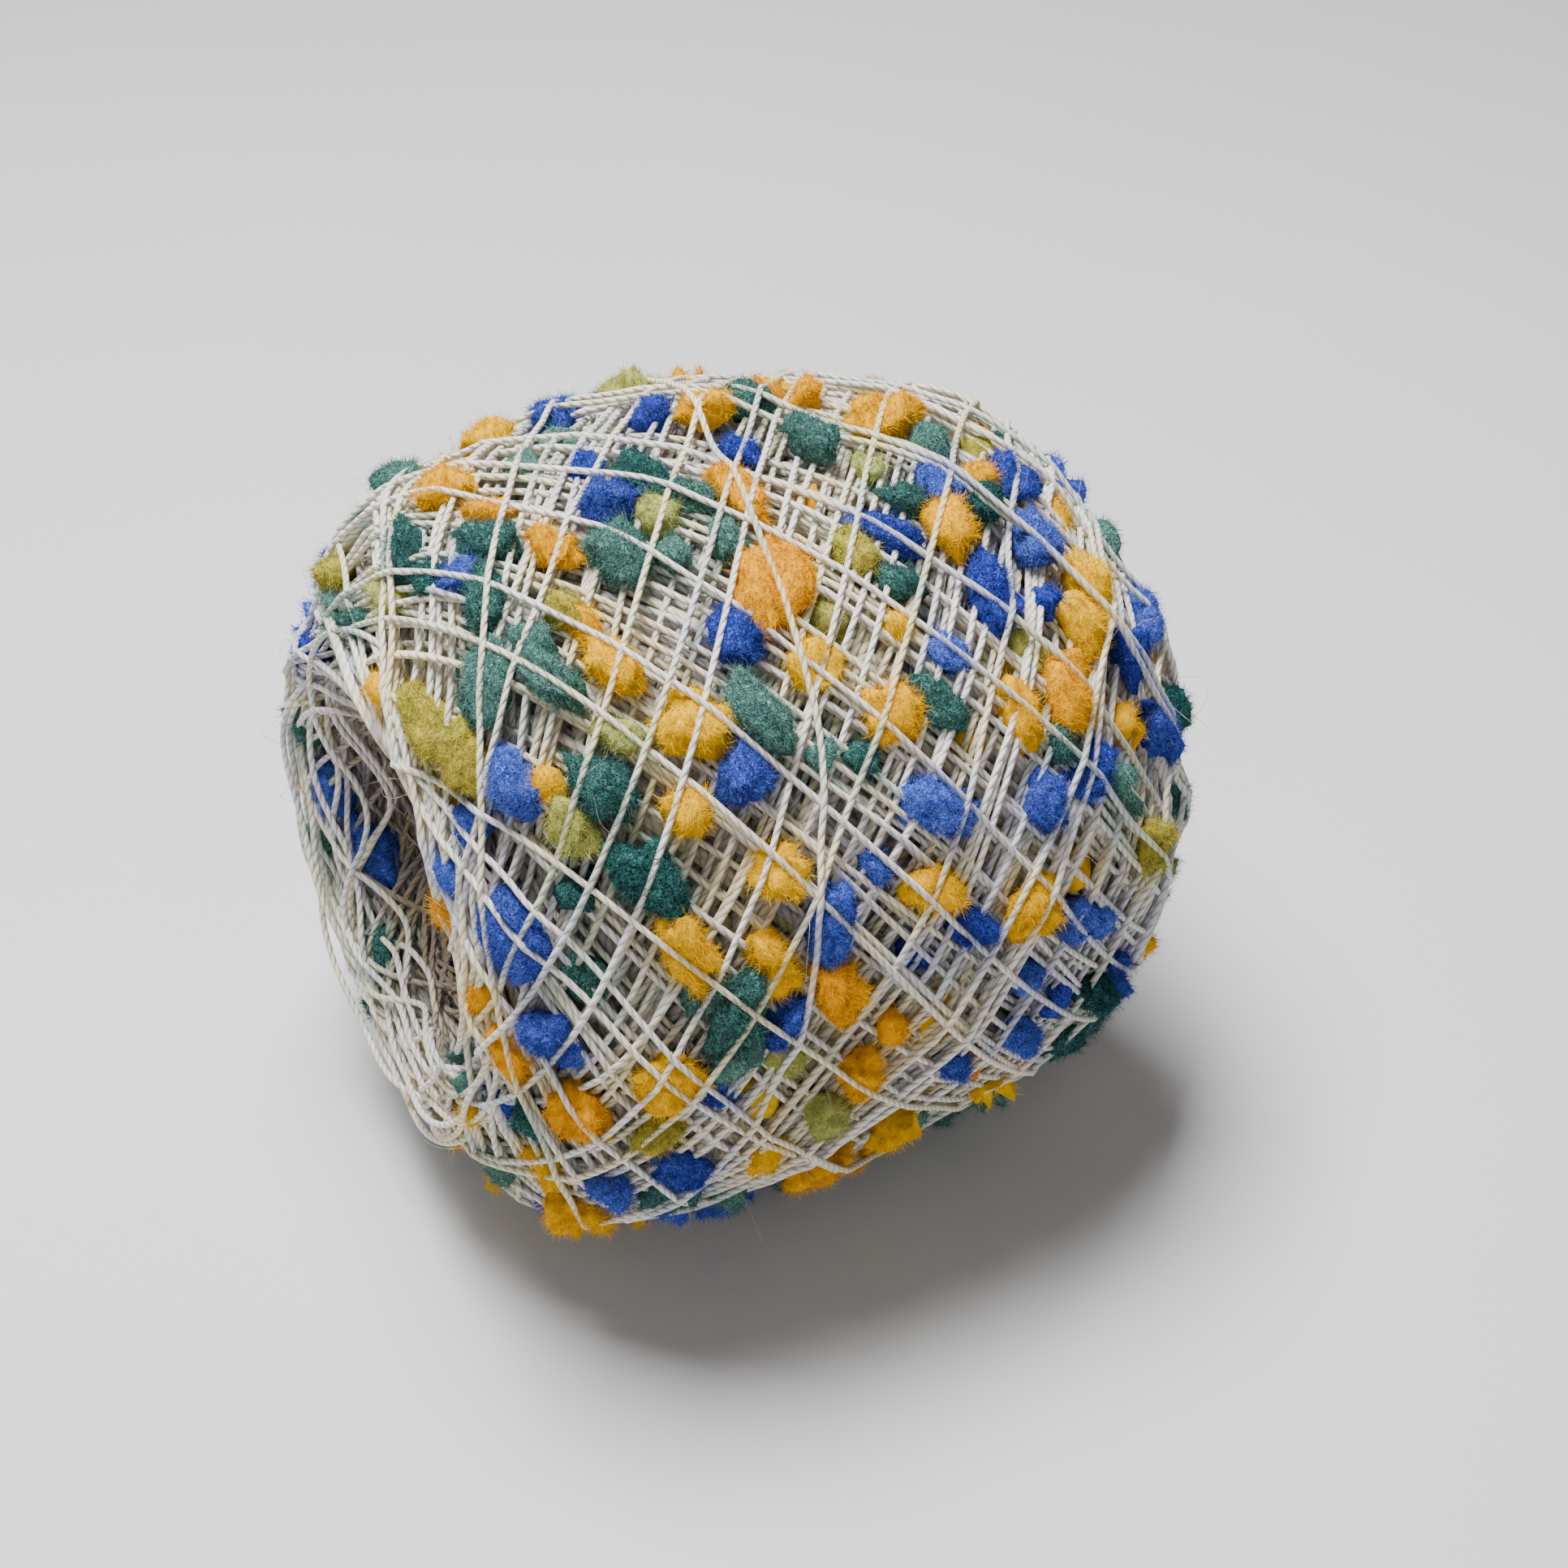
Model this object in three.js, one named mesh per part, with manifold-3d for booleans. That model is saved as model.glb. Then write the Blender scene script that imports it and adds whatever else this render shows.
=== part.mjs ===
// A ball of dot yarn: a fine white strand wound crosswise round a hollow core, with
// felted dots of colour held under its outer turns. Millimetres, +Z up. The winding
// axis lies along X, the wide mouth of the core faces -X, and the origin is the
// centre of the small flat spot that the ball rests on.

import * as THREE from 'three';
import { mergeVertices } from 'three/addons/utils/BufferGeometryUtils.js';
import Module from 'manifold-3d';

const wasm = await Module();
wasm.setup();

// Driving dimensions
const AXIS_HEIGHT = 41.4; // the winding axis above the flat spot
const STRAND = 0.9; // thickness of the two-ply strand
const CLEAR = 0.45; // room round each dot in its nest
const DOT_PROUD = 1.9; // how far a dot stands out of the winding
const DOT_DEEP = 4.6; // thickness of a dot, in and out

const COLUMNS = 42; // steps round the ball
const TURN_STEP = 2.45; // length of a step along the outside
const CORE_STEP = 6; // length of a step through the core
const BUNDLE_EVERY = 3; // a bundle of crossing turns at every third step
const BUNDLE_RISE = 0.55; // the bundles above the mean surface
const HOLLOW_DROP = 1.1; // the diamonds between them below it
const UNEVEN = 0.5; // slow waves of the hand-wound form

// The ball's section, as far as its turns pile up: x along the winding axis, r from it
const SECTION = [
  { x: -42.0, r: 22.5 }, // rim of the mouth
  { x: -41.0, r: 29.0 },
  { x: -37.4, r: 35.0 },
  { x: -31.5, r: 39.6 },
  { x: -21.0, r: 42.4 },
  { x: -7.0, r: 43.2 }, // widest
  { x: 7.0, r: 42.8 },
  { x: 18.0, r: 40.8 },
  { x: 27.0, r: 36.8 },
  { x: 34.3, r: 31.0 },
  { x: 39.0, r: 24.8 },
  { x: 41.0, r: 19.0 }, // rim of the far end
  { x: 39.5, r: 13.5 },
  { x: 30.0, r: 11.0 }, // core
  { x: 0.0, r: 11.0 },
  { x: -28.0, r: 12.5 },
  { x: -38.5, r: 17.0 }, // funnel of the mouth
];
const FAR_RIM_ROW = 11;

// Dots that show: along the outside from x = 0, degrees round from the top towards
// the front, size, and lie of the long side away from the round direction
const DOTS = [
  { colour: 'gold', along: -30, round: -13, long: 6.5, wide: 5, lie: 25 },
  { colour: 'teal', along: -37, round: -8, long: 7, wide: 3.5, lie: -40 },
  { colour: 'teal', along: -33, round: 13, long: 8, wide: 3.5, lie: -25 },
  { colour: 'blue', along: -18, round: 7, long: 5, wide: 4.5, lie: 75 },
  { colour: 'teal', along: -13, round: 5, long: 7.5, wide: 3.5, lie: 20 },
  { colour: 'teal', along: -20, round: 16, long: 8, wide: 5, lie: 15 },
  { colour: 'gold', along: -6, round: 12, long: 8.5, wide: 3.5, lie: 15 },
  { colour: 'gold', along: -7, round: 27, long: 10.5, wide: 7, lie: -35 },
  { colour: 'blue', along: -13, round: 32, long: 6.5, wide: 4.5, lie: 0 },
  { colour: 'teal', along: -14, round: 43, long: 8, wide: 5, lie: 20 },
  { colour: 'teal', along: -37, round: 26, long: 8, wide: 5, lie: -30 },
  { colour: 'teal', along: -31, round: 29, long: 8.5, wide: 4, lie: 15 },
  { colour: 'gold', along: -20, round: 42, long: 7, wide: 6.5, lie: 75 },
  { colour: 'blue', along: -17, round: 50, long: 5.5, wide: 4.5, lie: -20 },
  { colour: 'gold', along: -23, round: 52, long: 5, wide: 4, lie: -20 },
  { colour: 'teal', along: -30, round: 46, long: 7, wide: 5, lie: 30 },
  { colour: 'blue', along: -38, round: 41, long: 7, wide: 4, lie: 5 },
  { colour: 'olive', along: -42, round: 34, long: 7, wide: 4, lie: -10 },
  { colour: 'olive', along: -45, round: 23, long: 7.5, wide: 3.5, lie: 0 },
  { colour: 'gold', along: -2, round: -9, long: 5.5, wide: 4, lie: -90 },
  { colour: 'gold', along: 15, round: 2, long: 9, wide: 5, lie: -80 },
  { colour: 'teal', along: 5, round: 5, long: 7, wide: 4, lie: 15 },
  { colour: 'blue', along: 15, round: 17, long: 6, wide: 4, lie: 10 },
  { colour: 'gold', along: 13, round: 25, long: 7, wide: 4.5, lie: 0 },
  { colour: 'blue', along: 25, round: 16, long: 6, wide: 3.5, lie: 25 },
  { colour: 'blue', along: 23, round: 28, long: 6.5, wide: 4, lie: 0 },
  { colour: 'blue', along: 14, round: 36, long: 7.5, wide: 4, lie: -10 },
  { colour: 'gold', along: 28, round: 37, long: 9, wide: 4, lie: 0 },
  { colour: 'blue', along: 32, round: 49, long: 7, wide: 3.5, lie: 10 },
  { colour: 'gold', along: 19, round: 52, long: 8.5, wide: 5, lie: 0 },
  { colour: 'gold', along: -1, round: 48, long: 6.5, wide: 5, lie: 30 },
  { colour: 'blue', along: 1, round: 61, long: 7, wide: 5, lie: 60 },
  { colour: 'blue', along: 13, round: 65, long: 5.5, wide: 4, lie: -15 },
  { colour: 'olive', along: 30, round: 82, long: 6, wide: 4, lie: 0 },
  { colour: 'gold', along: -16, round: 63, long: 5.5, wide: 5, lie: 70 },
  { colour: 'blue', along: -12, round: 71, long: 8, wide: 4, lie: -15 },
  { colour: 'gold', along: -12, round: 81, long: 6.5, wide: 4.5, lie: 25 },
  { colour: 'gold', along: -1, round: 71, long: 5.5, wide: 4.5, lie: 70 },
  { colour: 'gold', along: 10, round: 79, long: 6.5, wide: 5, lie: -55 },
  { colour: 'teal', along: -22, round: 80, long: 8, wide: 5, lie: -25 },
  { colour: 'blue', along: -43, round: 65, long: 8, wide: 6.5, lie: 5 },
  { colour: 'gold', along: -29, round: 89, long: 6, wide: 5.5, lie: -90 },
  { colour: 'gold', along: -38, round: 97, long: 6.5, wide: 5.5, lie: 40 },
  { colour: 'gold', along: -26, round: 70, long: 8.5, wide: 4, lie: 25 },
];

// The dots go on round the side away from the eye, one every few millimetres
const BACK = { dots: 13, fromAlong: -36, toAlong: 34, fromRound: 215, sweep: 105, hop: 41 };
const BACK_COLOURS = ['teal', 'gold', 'blue', 'gold', 'teal', 'blue', 'olive', 'gold'];

// Slack turns that stand off the mouth's rim: where each leaves and rejoins it
const LOOPS = [
  { from: -75, to: -165, along: -51, rise: 2.6 },
  { from: -115, to: -205, along: -48, rise: 2.0 },
  { from: -190, to: -245, along: -51, rise: 1.8 },
];
const LOOP_THICK = 1.5 * STRAND; // two strands lying together

const YARN = new THREE.MeshStandardMaterial({ color: 0xe8e4d8, roughness: 0.9, metalness: 0 });
const FELT = {
  gold: new THREE.MeshStandardMaterial({ color: 0xe09c34, roughness: 0.95, metalness: 0 }),
  teal: new THREE.MeshStandardMaterial({ color: 0x2f6d6c, roughness: 0.95, metalness: 0 }),
  blue: new THREE.MeshStandardMaterial({ color: 0x3355bd, roughness: 0.95, metalness: 0 }),
  olive: new THREE.MeshStandardMaterial({ color: 0xb1ab50, roughness: 0.95, metalness: 0 }),
};

// The section as a closed curve, measured along its length from the mouth's rim
const section = new THREE.CatmullRomCurve3(
  SECTION.map((row) => new THREE.Vector3(row.x, row.r, 0)), true, 'catmullrom', 0.5);
const FINE = 60; // samples between two rows
const lengths = section.getLengths(SECTION.length * FINE);
section.arcLengthDivisions = SECTION.length * FINE;
section.updateArcLengths();
const WHOLE = lengths[lengths.length - 1];
const OUTSIDE = lengths[FAR_RIM_ROW * FINE];
const EQUATOR = lengths.find((_, i) => section.getPoint(i / (lengths.length - 1)).x > 0);

// Section point and its outward direction at a length from the mouth's rim
function sectionAt(length) {
  const u = THREE.MathUtils.euclideanModulo(length / WHOLE, 1);
  const point = section.getPointAt(u);
  const tangent = section.getTangentAt(u);
  return { x: point.x, r: point.y, out: new THREE.Vector2(-tangent.y, tangent.x) };
}

// Point of the ball at (x, r) and an angle from the top towards the front
function turned(x, r, angle) {
  return new THREE.Vector3(x, -r * Math.sin(angle), AXIS_HEIGHT + r * Math.cos(angle));
}

// Point, outward, round and along directions at a place on the outside
function placeOn(along, degrees, rise) {
  const angle = THREE.MathUtils.degToRad(degrees);
  const at = sectionAt(EQUATOR + along);
  const out = turned(at.out.x, at.out.y, angle).sub(new THREE.Vector3(0, 0, AXIS_HEIGHT));
  const round = new THREE.Vector3(0, -Math.cos(angle), -Math.sin(angle));
  return {
    point: turned(at.x, at.r, angle).addScaledVector(out, rise),
    out, round, along: new THREE.Vector3().crossVectors(out, round),
  };
}

function toSolid(geometry) {
  const bare = geometry.clone();
  bare.deleteAttribute('normal');
  bare.deleteAttribute('uv');
  const merged = mergeVertices(bare, 1e-4);
  return new wasm.Manifold(new wasm.Mesh({
    numProp: 3,
    vertProperties: new Float32Array(merged.attributes.position.array),
    triVerts: new Uint32Array(merged.index.array),
  }));
}

function toGeometry(solid) {
  const mesh = solid.getMesh();
  const geometry = new THREE.BufferGeometry();
  geometry.setAttribute('position', new THREE.BufferAttribute(mesh.vertProperties, 3));
  geometry.setIndex(new THREE.BufferAttribute(mesh.triVerts, 1));
  geometry.computeVertexNormals();
  return geometry;
}

// Stations along the closed section: close together outside, wide apart in the core.
// Their number is a multiple of twice the bundle spacing, so that the pattern closes.
function stations() {
  const outer = Math.round(OUTSIDE / TURN_STEP);
  const lattice = 2 * BUNDLE_EVERY;
  let inner = Math.round((WHOLE - OUTSIDE) / CORE_STEP);
  inner += (lattice - ((outer + inner) % lattice)) % lattice;
  const list = [];
  for (let i = 0; i < outer; i += 1) list.push((OUTSIDE * i) / outer);
  for (let i = 0; i < inner; i += 1) list.push(OUTSIDE + ((WHOLE - OUTSIDE) * i) / inner);
  return list;
}

// The wound form. Each ring is turned half a step past the one before it, so both
// families of crossing bundles run along its edges.
function windingGeometry() {
  const rings = stations();
  const positions = [];
  rings.forEach((length, i) => {
    const at = sectionAt(length);
    const fade = THREE.MathUtils.smoothstep(length, 0, 8)
      * (1 - THREE.MathUtils.smoothstep(length, OUTSIDE - 8, OUTSIDE));
    for (let j = 0; j < COLUMNS; j += 1) {
      const angle = ((j + i / 2) / COLUMNS) * 2 * Math.PI;
      const bundle = j % BUNDLE_EVERY === 0 || (i + j) % BUNDLE_EVERY === 0;
      const wave = Math.sin(2 * angle + length / 17) + Math.sin(3 * angle - length / 11);
      const rise = fade * ((bundle ? BUNDLE_RISE : -HOLLOW_DROP) + 0.5 * UNEVEN * wave);
      const point = turned(at.x + at.out.x * rise, at.r + at.out.y * rise, angle);
      positions.push(point.x, point.y, point.z);
    }
  });
  const triangles = [];
  const index = (i, j) => {
    const lap = Math.floor(i / rings.length);
    return (i % rings.length) * COLUMNS + ((j + (lap * rings.length) / 2) % COLUMNS);
  };
  for (let i = 0; i < rings.length; i += 1) {
    for (let j = 0; j < COLUMNS; j += 1) {
      triangles.push(index(i, j), index(i, j + 1), index(i + 1, j));
      triangles.push(index(i, j + 1), index(i + 1, j + 1), index(i + 1, j));
    }
  }
  const geometry = new THREE.BufferGeometry();
  geometry.setAttribute('position', new THREE.Float32BufferAttribute(positions, 3));
  geometry.setIndex(triangles);
  return geometry;
}

// A slack turn beside the mouth's rim, its ends sunk in the winding
function loopGeometry(row) {
  const path = [];
  const steps = 12;
  for (let i = 0; i <= steps; i += 1) {
    const bow = Math.sin((Math.PI * i) / steps);
    path.push(placeOn(row.along, row.from + ((row.to - row.from) * i) / steps,
      row.rise * bow - LOOP_THICK).point);
  }
  const shape = new THREE.Shape();
  shape.absarc(0, 0, LOOP_THICK / 2, 0, 2 * Math.PI);
  return new THREE.ExtrudeGeometry(shape, {
    extrudePath: new THREE.CatmullRomCurve3(path), steps: 16, curveSegments: 3,
  });
}

// One dot: a flattened lump with its long side at the row's lie
function dotGeometry(row, grow) {
  const geometry = new THREE.SphereGeometry(1, 8, 4);
  geometry.rotateX(Math.PI / 2);
  const place = placeOn(row.along, row.round, DOT_PROUD - DOT_DEEP / 2);
  const lie = THREE.MathUtils.degToRad(row.lie);
  const long = place.round.clone().multiplyScalar(Math.cos(lie))
    .addScaledVector(place.along, Math.sin(lie));
  const wide = new THREE.Vector3().crossVectors(place.out, long);
  geometry.scale(row.long / 2 + grow, row.wide / 2 + grow, DOT_DEEP / 2 + grow);
  geometry.applyMatrix4(new THREE.Matrix4().makeBasis(long, wide, place.out)
    .setPosition(place.point));
  return geometry;
}

function backDots() {
  const rows = [];
  for (let i = 0; i < BACK.dots; i += 1) {
    const share = i / (BACK.dots - 1);
    rows.push({
      colour: BACK_COLOURS[i % BACK_COLOURS.length],
      along: BACK.fromAlong + (BACK.toAlong - BACK.fromAlong) * share,
      round: BACK.fromRound + ((BACK.hop * i) % BACK.sweep),
      long: 6.5 + (i % 3), wide: 4.5 + (i % 2), lie: i % 2 ? 37 : -37,
    });
  }
  return rows;
}

function woundBall(rows) {
  let ball = toSolid(windingGeometry());
  for (const row of LOOPS) ball = ball.add(toSolid(loopGeometry(row)));
  for (const row of rows) ball = ball.subtract(toSolid(dotGeometry(row, CLEAR)));
  const floor = new THREE.BoxGeometry(200, 200, 20);
  floor.translate(0, 0, -10);
  return toGeometry(ball.subtract(toSolid(floor)));
}

function named(name, geometry, material) {
  const mesh = new THREE.Mesh(geometry, material.clone());
  mesh.name = name;
  return mesh;
}

const dots = [...DOTS, ...backDots()];
const group = new THREE.Group();
group.add(named('wound_ball', woundBall(dots), YARN));

const made = {};
for (const row of dots) {
  made[row.colour] = (made[row.colour] ?? 0) + 1;
  const name = `dot_${row.colour}_${String(made[row.colour]).padStart(2, '0')}`;
  group.add(named(name, dotGeometry(row, 0), FELT[row.colour]));
}

export default group;
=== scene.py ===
# A ball of dot yarn: fine two-ply strand wound crosswise, felted dots of colour along it

import math

import bmesh
import bpy
import numpy as np
from mathutils import Matrix, Vector, noise
from mathutils.kdtree import KDTree


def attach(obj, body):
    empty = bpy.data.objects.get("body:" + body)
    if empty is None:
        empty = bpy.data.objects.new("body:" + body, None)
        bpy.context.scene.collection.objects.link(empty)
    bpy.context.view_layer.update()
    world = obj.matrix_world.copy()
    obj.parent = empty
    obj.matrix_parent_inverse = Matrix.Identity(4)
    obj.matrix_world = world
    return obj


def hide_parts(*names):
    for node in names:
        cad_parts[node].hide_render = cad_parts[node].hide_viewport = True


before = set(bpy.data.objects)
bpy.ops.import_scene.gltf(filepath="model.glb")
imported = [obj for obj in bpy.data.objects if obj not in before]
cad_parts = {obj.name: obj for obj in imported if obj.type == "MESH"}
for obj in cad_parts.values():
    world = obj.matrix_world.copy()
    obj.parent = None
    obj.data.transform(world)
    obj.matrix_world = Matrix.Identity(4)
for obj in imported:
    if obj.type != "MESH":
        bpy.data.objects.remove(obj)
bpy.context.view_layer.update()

# Sizes, in millimetres unless they say otherwise
MM = 0.001
AXIS_HEIGHT = 41.4  # the winding axis above the floor
STRAND = 0.68  # thickness
PLY_PITCH = 2.8  # length of a full twist of the two plies
CELL = 0.45  # the grid on which the turns are laid
SQUASH = 0.6  # how much of its thickness a strand keeps where another crosses it
TAUT_BEND, SLACK_BEND = 42.0, 26.0  # the curve a strand follows in the air, taut and over the dots
PRESSED = 0.4  # how much of a dot still stands up under the last turns
GROOVE_HALF = 1.1  # half the width of the groove that such a turn presses in a dot
LEAST_RADIUS = 8  # no turn lies closer to the axis
TINT_REACH = 7.5  # a dot tints the strand this near it
CORE_SHADE = 21, 5  # the strand gets painted shade inside this radius, over so many millimetres
NAP_LONG, NAP_THICK = 1.0, 0.028  # the felt's hairs
NAP_RANGE = 0.45, 1.5  # the least and most of that size
NAP_DENSITY = 13.0  # hairs to a square millimetre
HAIR_THICK = 0.07  # stray fibres off the turns
IMAGE_SIDE = 1932  # pixels
PIXEL = 0.088  # millimetres to a pixel at the ball's middle
FLOOR_HALF = 1.6  # metres
SEED = 11
noise.seed_set(SEED)  # without it the noise vectors differ from run to run

# The wound section as the solid has it: x along the winding axis, r from it
SECTION = np.array([
    (-42.0, 22.5), (-41.0, 29.0), (-37.4, 35.0), (-31.5, 39.6), (-21.0, 42.4), (-7.0, 43.2),
    (7.0, 42.8), (18.0, 40.8), (27.0, 36.8), (34.3, 31.0), (39.0, 24.8), (41.0, 19.0),
    (39.5, 13.5), (30.0, 11.0), (0.0, 11.0), (-28.0, 12.5), (-38.5, 17.0)])
ROW_STEPS = 60  # points between two rows of the section

# How far the body under the turns lies below that section, at places along it
UNDER = {"along": (-75, -62, -56, -50, -42, -32, -24, -16, -8, 0, 8, 16, 24, 32, 40, 48, 55, 64, 125),
         "depth": (1.4, 2.4, 5.3, 7.6, 7.4, 6.9, 5.5, 5.2, 5.6, 6.0, 5.5, 5.0, 5.7, 7.0, 7.6, 8.2, 5.4,
                   1.8, 1.4)}

# The turns, from the deepest: their reach along the ball, rounds for a sweep there and back, sweeps
LAYS = [
    # every: how many samples are laid for each point of the shape
    {"name": "turns_deep", "centre": 0, "reach": 60, "rounds": 4 / 3 + 0.0041, "sweeps": 74, "sides": 4,
     "thick": 1.25, "every": 7},
    {"name": "turns_third", "centre": 0, "reach": 59, "rounds": 4 / 3 - 0.0037, "sweeps": 80, "sides": 4,
     "thick": 1.1, "every": 7},
    {"name": "turns_second", "centre": -1, "reach": 58, "rounds": 4 / 3 + 0.0041, "sweeps": 74, "sides": 6,
     "every": 6},
    {"name": "turns_top", "centre": -2, "reach": 57, "rounds": 4 / 3 + 0.0053, "sweeps": 56, "sides": 6,
     "every": 5},
    {"name": "turns_over_dots", "centre": -2, "reach": 57, "rounds": 1.37, "sweeps": 20, "sides": 6,
     "every": 4, "start": 100},
]
CORE_LAY = {"name": "turns_core", "centre": 99, "reach": 43, "rounds": 10 / 3 + 0.019, "sweeps": 30,
            "sides": 4, "every": 7}


def ball_camera():
    """The photograph's view: from the front left, looking down at the ball's middle."""
    yaw, down, away = math.radians(26.5), math.radians(37.0), 300.0
    right = Vector((math.cos(yaw), -math.sin(yaw), 0))
    back = Vector((-math.sin(yaw) * math.cos(down), -math.cos(yaw) * math.cos(down), math.sin(down)))
    up = back.cross(right)
    lens = bpy.data.cameras.new("view")
    lens.sensor_width = 36.0
    lens.lens = lens.sensor_width * away / (IMAGE_SIDE * PIXEL)
    lens.shift_x, lens.shift_y = 42 / IMAGE_SIDE, -11 / IMAGE_SIDE
    lens.clip_start, lens.clip_end = 0.01, 20
    camera = bpy.data.objects.new("view", lens)
    spot = (Vector((0, 0, AXIS_HEIGHT)) + back * away) * MM
    camera.matrix_world = Matrix.Translation(spot) @ Matrix((right, up, back)).transposed().to_4x4()
    bpy.context.scene.collection.objects.link(camera)
    bpy.context.scene.camera = camera


ball_camera()


# The section as a curve measured along its length

def smooth_between(a, b, c, d, steps):
    """Points of a smooth curve from b to c, on its way from a to d."""
    t = np.linspace(0, 1, steps, endpoint=False)[:, None]
    return 0.5 * (2 * b + (c - a) * t + (2 * a - 5 * b + 4 * c - d) * t ** 2
                  + (3 * b - a - 3 * c + d) * t ** 3)


def even_section():
    """Points of the section, their lengths along it and the directions out of it."""
    rows = len(SECTION)
    parts = [smooth_between(*(SECTION[(i + k) % rows] for k in (-1, 0, 1, 2)), ROW_STEPS)
             for i in range(rows)]
    points = np.concatenate(parts + [parts[0][:1]])
    step = np.hypot(*np.diff(points, axis=0).T)
    length = np.concatenate([[0], np.cumsum(step)])
    slope = np.roll(points[:-1], -1, 0) - np.roll(points[:-1], 1, 0)
    slope /= np.linalg.norm(slope, axis=1)[:, None]
    slope = np.vstack([slope, slope[:1]])
    return points, length, np.stack([-slope[:, 1], slope[:, 0]], 1)


POINTS, LENGTH, OUTWARD = even_section()
WHOLE = LENGTH[-1]
EQUATOR = LENGTH[np.argmax(POINTS[:, 0] > 0)]  # lengths along the ball are told from its middle


def section_at(along):
    """x, r and outward direction of the section at lengths along the ball."""
    at = np.mod(np.asarray(along, float) + EQUATOR, WHOLE)
    return [np.interp(at, LENGTH, v) for v in (POINTS[:, 0], POINTS[:, 1], OUTWARD[:, 0], OUTWARD[:, 1])]


def under_depth(along):
    """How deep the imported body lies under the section."""
    first = -80  # where the table's round of the section starts
    at = np.mod(np.asarray(along, float) - first, WHOLE) + first
    return np.interp(at, UNDER["along"], UNDER["depth"])


def place(along, turn, rise):
    """Points of the ball, in millimetres: along it, round it in radians, and above its section."""
    x, r, nx, nr = section_at(along)
    x, r = x + nx * rise, r + nr * rise
    return np.stack([x, -r * np.sin(turn), AXIS_HEIGHT + r * np.cos(turn)], -1)


def outward_at(along, turn):
    """The direction straight out of the ball."""
    _, _, nx, nr = section_at(along)
    return np.stack([nx, -nr * np.sin(turn), nr * np.cos(turn)], -1)


def round_way_at(turn):
    """The direction in which the turns go round the axis."""
    return np.array([0, -math.cos(turn), -math.sin(turn)])


def drift(t, period, seed):
    """A slow even wander between about -1 and 1."""
    rng = np.random.default_rng(seed)
    phase, pace = rng.uniform(0, 2 * math.pi, 5), rng.uniform(0.6, 1.7, 5)
    return sum(np.sin(2 * math.pi * t / period * p + f) for p, f in zip(pace, phase)) / 2.6


# The heap of turns: how high the next strand's middle has to lie, cell by cell

class Heap:
    def __init__(self, low, high, cells_round):
        self.low, self.cells = low, cells_round
        self.rows = int((high - low) / CELL) + 1
        self.bend = TAUT_BEND
        self.need = np.full((self.rows, self.cells), -np.inf)
        self.floor = -under_depth(low + CELL * np.arange(self.rows)) + STRAND / 2

    def cell(self, along, turn):
        i = np.clip(np.round((along - self.low) / CELL).astype(int), 0, self.rows - 1)
        j = np.mod(np.round(turn / (2 * math.pi) * self.cells).astype(int), self.cells)
        return i, j

    def lay(self, along, turn, first=None):
        """Heights of a strand pulled taut over all that lies there."""
        i, j = self.cell(along, turn)
        need = np.maximum(self.need[i, j], self.floor[i])
        high = need.copy()
        if first is not None:
            high[0] = need[0] = max(first, need[0])
        sag = CELL ** 2 / (2 * self.bend)
        for _ in range(70):  # tightened this often, it no longer moves
            high[1:-1] = np.maximum(need[1:-1], (high[:-2] + high[2:]) / 2 - sag)
        return high

    def add(self, along, turn, high):
        """Raises the heap where a strand now lies."""
        _, r, _, _ = section_at(along)
        i, j = self.cell(along, turn)
        cell_round = 2 * math.pi * np.maximum(r, LEAST_RADIUS) / self.cells
        span = int(math.ceil(STRAND / CELL))
        span_round = int(math.ceil(STRAND / cell_round.min()))
        for di in range(-span, span + 1):
            row = i + di
            for dj in range(-span_round, span_round + 1):
                away = (di * CELL) ** 2 + (dj * cell_round) ** 2
                near = (away < STRAND * STRAND) & (row >= 0) & (row < self.rows)
                if near.any():
                    top = high[near] + SQUASH * np.sqrt(STRAND * STRAND - away[near])
                    np.maximum.at(self.need, (row[near], (j[near] + dj) % self.cells), top)


def sweep_path(lay, seed):
    """One long strand swept there and back while the ball turns, about a sample for every cell."""
    count = int(lay["sweeps"] * 2 * math.pi * max(lay["rounds"] * 40, lay["reach"] * 0.9) / CELL * 0.82)
    t = np.linspace(0, lay["sweeps"], count)
    swing = np.arcsin(0.8 * np.sin(2 * math.pi * t)) / math.asin(0.8)
    vary = 1 - 0.1 * (1 + drift(t, 1.35, seed))
    along = lay["centre"] + 2.4 * drift(t, 2.9, seed + 3) * (1 - swing ** 2) + lay["reach"] * vary * swing
    turn = math.radians(lay.get("start", 0)) + 2 * math.pi * lay["rounds"] * t
    turn += 0.03 * drift(t, 2.3, seed + 1) + 0.04 * drift(t, 0.8, seed + 2)
    return t, along, turn


def pile_up(heap, lay, seed):
    """Lays a whole strand, half a sweep at a time, and gives its samples."""
    if lay["name"] == "turns_over_dots":
        drop_dots(heap)
    t, along, turn = sweep_path(lay, seed)
    high, last = np.empty_like(t), None
    halves = np.floor(2 * t + 0.5).astype(int)
    for half in range(halves[0], halves[-1] + 1):
        here = np.nonzero(halves == half)[0]
        if len(here) < 3:
            high[here] = last if last is not None else 0
            continue
        high[here] = heap.lay(along[here], turn[here], last)
        last = high[here][-1]
        heap.add(along[here], turn[here], high[here])
    return {"t": t, "along": along, "turn": turn, "high": high}


# Dots: where each lies, which way, and how large

DOTS = []
COLOURS = ["gold", "teal", "blue", "olive"]


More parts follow.
